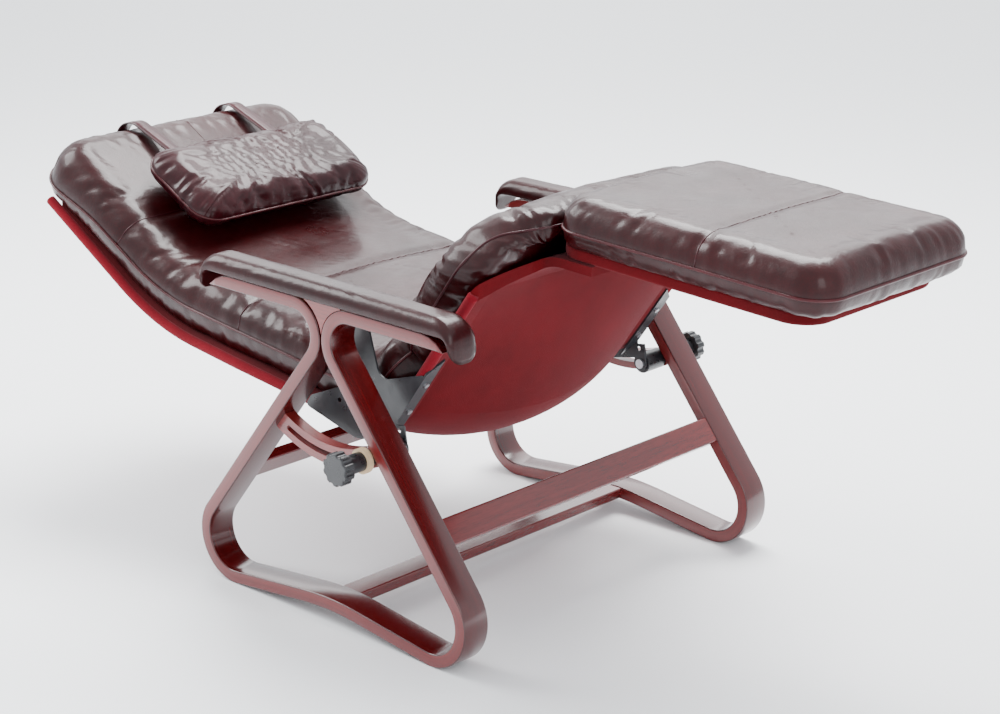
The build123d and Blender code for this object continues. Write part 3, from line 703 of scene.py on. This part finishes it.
# spaces that the cushions fill, in millimetres above the shell's underside line
HEAD_OVERHANG = 45.0
SPLIT_AFTER_SEAT = 130.0
UNDER, TOP = 15.0, 106.0
BELLY_HALF = 245
head_way = unit(np.subtract(SHELL_LINE[1], SHELL_LINE[0]))
thigh_way = unit(np.subtract(SHELL_LINE[3], SHELL_LINE[2]))
head_up = np.array([-head_way[1], head_way[0]])
thigh_up = np.array([-thigh_way[1], thigh_way[0]])
ridge = tuple(np.array(SHELL_LINE[0]) - head_way * HEAD_OVERHANG)
split = tuple(np.array(SHELL_LINE[2]) + thigh_way * SPLIT_AFTER_SEAT)
seat_line = [ridge, SHELL_LINE[1], SHELL_LINE[2], split]
back_slab = Slab(
    Path(offset_line(seat_line, UNDER), [SHELL_RADII[0] - UNDER, SHELL_RADII[1] - UNDER]),
    Path(offset_line(seat_line, TOP), [SHELL_RADII[0] - TOP, 60.0]),
)
BACK_HALF = 270
BACK_CROSS_SEAMS = (235.0, 560.0)  # along the back, from the head ridge
back = Cushion(back_slab, -8, back_slab.length + 14, BACK_HALF, 70, (170, 84), 50, 30)


def sink(x):
    """Sag of the shell's middle below its rims, as in the CAD."""
    fall_in = ease((x + 800) / 550)
    fade_out = 1 - ease((x - 110) / 126)
    return (9 + 51 * fall_in) * fade_out


def back_low(s, y):
    """The underside, bedded into the shell's sag."""
    t = np.interp(s, back_slab.s, back_slab.t)
    x = back_slab.low.at(t)[:, 0]
    sag = sink(x) * across(y, BELLY_HALF)
    return 0.02 - sag / (TOP - UNDER)


def back_top(s, y):
    """Crowned across the seat, full to its sides at the head."""
    head = 1 - ease(s / 330)
    return 1.0 + 0.12 * head + 0.12 * (1 - head) * across(y, BACK_HALF)


def back_seam(s, y):
    """The side seam, lower at the head."""
    head = 1 - ease(s / 190)
    return 0.50 - 0.26 * head


back.build("back_cushion_cover", back_seam, back_top, back_low, gather=0.5, wave=26.0, seed=5)
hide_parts("back_cushion")

# thigh cushion, up the slope and over the knee
THIGH_HALF = 268
KNEE_UNDER = [(277.0, 632.0), (296.0, 631.0)]
KNEE_TOP = [(186.0, 655.0), (296.0, 684.0)]
thigh_low_line = [tuple(np.array(split) + thigh_up * UNDER)] + KNEE_UNDER
thigh_high_line = [tuple(np.array(split) + thigh_up * TOP)] + KNEE_TOP
thigh_slab = Slab(Path(thigh_low_line, [20.0]), Path(thigh_high_line, [110.0]))
thigh = Cushion(thigh_slab, -8, thigh_slab.length + 6, THIGH_HALF, 60, (70, 84), 52, 26)
thigh.build(
    "thigh_cushion_cover",
    constant(0.45),
    crowned(THIGH_HALF, 0.06),
    constant(0.02),
    widen=lambda s: 1 - 0.24 * ease((s - 190) / 130),
    gather=1.5,
    wave=30.0,
    seed=11,
)
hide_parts("thigh_cushion")

# legrest cushion, on the sloping board
BOARD_TOP = 627.0  # where x is BOARD_REF_X
BOARD_REF_X = 340
BOARD_SLOPE = tan(radians(-2.3))
LEG_THICK = 76
LEG_LEAN = 3  # the top leans this far forward
LEG_HALF = 188
LEG_CROSS_SEAM = 270.0
leg_x = [(corner.x - PIVOT.x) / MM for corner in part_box("legrest_cushion")]
leg_under = [(x, BOARD_TOP + (x - BOARD_REF_X) * BOARD_SLOPE) for x in leg_x]
leg_over = [(x + LEG_LEAN, BOARD_TOP + LEG_THICK + (x - BOARD_REF_X) * BOARD_SLOPE) for x in leg_x]
leg_slab = Slab(Path(leg_under, []), Path(leg_over, []))
leg = Cushion(leg_slab, 2, leg_slab.length - 2, LEG_HALF, 52, (96, 76), 44, 24)
leg.build(
    "legrest_cushion_cover",
    constant(0.40),
    crowned(LEG_HALF, 0.06),
    constant(0.02),
    gather=0.4,
    wave=24.0,
    seed=17,
)
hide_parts("legrest_cushion")

# pillow
PILLOW_MID_Y = 0.015
pillow_centre = np.array([-561.5, 562.0])
pillow_tilt = radians(-27.5)
pillow_way = np.array([cos(pillow_tilt), sin(pillow_tilt)])
pillow_up = np.array([-pillow_way[1], pillow_way[0]])
ends = [pillow_centre - pillow_way * 93.5, pillow_centre + pillow_way * 93.5]
pillow_under = [tuple(end - pillow_up * 38.5) for end in ends]
pillow_over = [tuple(end + pillow_up * 38.5) for end in ends]
pillow_slab = Slab(Path(pillow_under, []), Path(pillow_over, []))
pillow = Cushion(pillow_slab, 1, 186, 199, 46, (56, 96), 80, 80, 1.9)
pillow.build(
    "head_pillow_cover",
    constant(0.5),
    constant(0.97),
    constant(0.03),
    "pillow",
    "leather",
    LEATHER_PILLOW,
    gather=1.0,
    wave=15.0,
    seed=23,
)
pillow.obj.data.transform(Matrix.Translation((0, PILLOW_MID_Y, 0)))
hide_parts("head_pillow")

# seams, after the leather has settled
SEAM_CORD = 1.1  # millimetres of radius
PIPING = 2.4
settle([(back, 0.010), (thigh, 0.035), (leg, 0.007), (pillow, 0.045)])
for seam_s in BACK_CROSS_SEAMS:
    back.groove(seam_s, 4.0, 11.0)
leg.groove(LEG_CROSS_SEAM, 3.0, 8.0)
tube("back_edge_piping", back.ring(), PIPING, LEATHER_WELT, "seat", closed=True)
for number, seam_s in enumerate(BACK_CROSS_SEAMS):
    tube(f"back_cross_seam_{number}", back.row(seam_s), SEAM_CORD, LEATHER_STRAP, "seat")
middle_seam = back.column(9.0, BACK_CROSS_SEAMS[0])
tube("back_middle_seam", middle_seam, SEAM_CORD, LEATHER_STRAP, "seat")
tube("thigh_edge_piping", thigh.ring(), 2.0, LEATHER_STRAP, "seat", closed=True)
tube("legrest_edge_piping", leg.ring(), PIPING, LEATHER_WELT, "seat", closed=True)
tube("legrest_cross_seam", leg.row(LEG_CROSS_SEAM), SEAM_CORD, LEATHER_STRAP, "seat")
tube("head_pillow_piping", pillow.ring(), 2.2, LEATHER_WELT, "pillow", closed=True)


# straps: under the shell, over the head ridge, down to the pillow
def head_spot(run, rise):
    """A point in the XZ plane, measured along the head slope and square to it."""
    return np.array(SHELL_LINE[0]) + head_way * run + head_up * rise


def ribbon(name, run_rise, radii, y_mid, width, thick, body):
    """A flat leather band along points measured from the head end of the shell."""
    corners = [head_spot(*stop) for stop in run_rise]
    path = Path([tuple(c) for c in corners], radii)
    spots = path.at(np.linspace(0, path.count, 90))
    lefts = lefts_along(spots)
    outline = [(-0.5, -0.3), (-0.46, 0.5), (0, 0.75), (0.46, 0.5), (0.5, -0.3), (0, -0.5)]
    points, faces = [], []
    for spot, left in zip(spots, lefts):
        for across, high in outline:
            x, z = spot - left * high * thick
            points.append((x * MM + PIVOT.x, (y_mid + across * width) * MM, z * MM))
    for i in range(len(spots) - 1):
        for k in range(6):
            faces.append((i * 6 + k, i * 6 + (k + 1) % 6, i * 6 + 6 + (k + 1) % 6, i * 6 + 6 + k))
    faces += [tuple(range(6)), tuple(len(points) - 6 + k for k in range(6))[::-1]]
    obj = piece(name, points, faces, [LEATHER_STRAP], body, "strap_leather")
    normals_outward(obj)
    return obj


STRAP_LINE = [(150, -17), (-58, -17), (-56, 119), (108, 146)]
for number, y_mid in enumerate((-90.0, 130.0)):
    strap = ribbon(f"pillow_strap_{number}", STRAP_LINE, [20, 46], y_mid, 28, 2.6, None)
    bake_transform(strap)
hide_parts("pillow_straps")

# rolled felt edge along the shell's rims, up to where the shell narrows for the knee, in felt painted lighter
# than the shell's as a painted highlight
SHELL_NARROWS_X = 236
rim_path = Path(offset_line(SHELL_LINE[:4], 7.0), SHELL_RADII[:2])
rim_spots = rim_path.at(np.linspace(0, rim_path.count, 220))
rim_spots = rim_spots[rim_spots[:, 0] < SHELL_NARROWS_X]
for name, side in SIDES.items():
    half = np.interp(rim_spots[:, 0], [-805, -300], [263.0, 273.0])
    rim = [(x * MM + PIVOT.x, side * y * MM, z * MM) for (x, z), y in zip(rim_spots, half)]
    tube(f"{name}_felt_roll", rim, 8.5, FELT_PAINTED_LIT_EDGE, "seat", slot="red_felt", sides=12)

# arm pads, wrapped down over both tips of the arm
PAD_UNDER = [(-283.0, 478.0), (-268.0, 519.2), (266.0, 519.2), (281.0, 476.0)]
PAD_OVER = [(-287.0, 490.0), (-276.0, 547.0), (272.0, 547.0), (281.0, 486.0)]
PAD_MID_Y = 0.335
for name, side in SIDES.items():
    pad_slab = Slab(Path(PAD_UNDER, [16.0, 16.0]), Path(PAD_OVER, [44.0, 40.0]))
    pad = Cushion(pad_slab, 4, pad_slab.length - 4, 29, 24, (150, 26), 20, 6)
    pad.build(
        f"{name}_arm_pad_cover",
        constant(0.12),
        constant(1.0),
        constant(0.0),
        "base_frame",
        gather=0.3,
        wave=30.0,
        seed=29,
    )
    pad.obj.data.transform(Matrix.Translation((0, side * PAD_MID_Y, 0)))
    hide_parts(f"{name}_arm_pad")

# ---------------------------------------------------------------- room
floor_mesh = bpy.data.meshes.new("floor")
floor_mesh.from_pydata([(-9, -9, 0), (9, -9, 0), (9, 9, 0), (-9, 9, 0)], [], [(0, 1, 2, 3)])
floor = bpy.data.objects.new("floor", floor_mesh)
bpy.context.scene.collection.objects.link(floor)
floor_shader = Shader("floor_paper", Roughness=0.75)
floor_shader.set(floor_shader.surface, {"Base_Color": (0.90, 0.915, 0.93, 1)})
floor_mesh.materials.append(floor_shader.material)

world = bpy.data.worlds.new("studio")
bpy.context.scene.world = world
world.use_nodes = True
world.node_tree.nodes["Background"].inputs[0].default_value = (0.93, 0.96, 1.0, 1)
world.node_tree.nodes["Background"].inputs[1].default_value = 1.5


def area_light(name, place, aim, size, power):
    data = bpy.data.lights.new(name, "AREA")
    data.shape = "RECTANGLE"
    data.size, data.size_y = size
    data.energy = power
    obj = bpy.data.objects.new(name, data)
    bpy.context.scene.collection.objects.link(obj)
    obj.location = place
    obj.rotation_euler = (Vector(aim) - Vector(place)).to_track_quat("-Z", "Y").to_euler()


area_light("overhead", (-0.6, 1.2, 3.2), (0, 0, 0.5), (2.4, 1.6), 300)
area_light("backdrop", (-4.0, 4.5, 3.4), (-3.2, 3.2, 0), (6.0, 4.0), 210)
area_light("right_front", (3.2, -1.4, 1.9), (0, 0, 0.4), (1.8, 1.8), 35)
area_light("left_rear", (-2.6, -1.2, 2.4), (0, 0, 0.5), (1.6, 1.6), 110)

camera_data = bpy.data.cameras.new("camera")
camera_data.lens = 83.1
camera_data.sensor_width = 36
camera = bpy.data.objects.new("camera", camera_data)
bpy.context.scene.collection.objects.link(camera)
yaw, pitch = radians(43.6), radians(18.05)
look = Vector((-sin(yaw) * cos(pitch), cos(yaw) * cos(pitch), -sin(pitch)))
camera.location = Vector((2.4614, -2.5547, 1.5058)) + Vector((PIVOT.x, 0, 0))
camera.rotation_euler = look.to_track_quat("-Z", "Y").to_euler()
bpy.context.scene.camera = camera
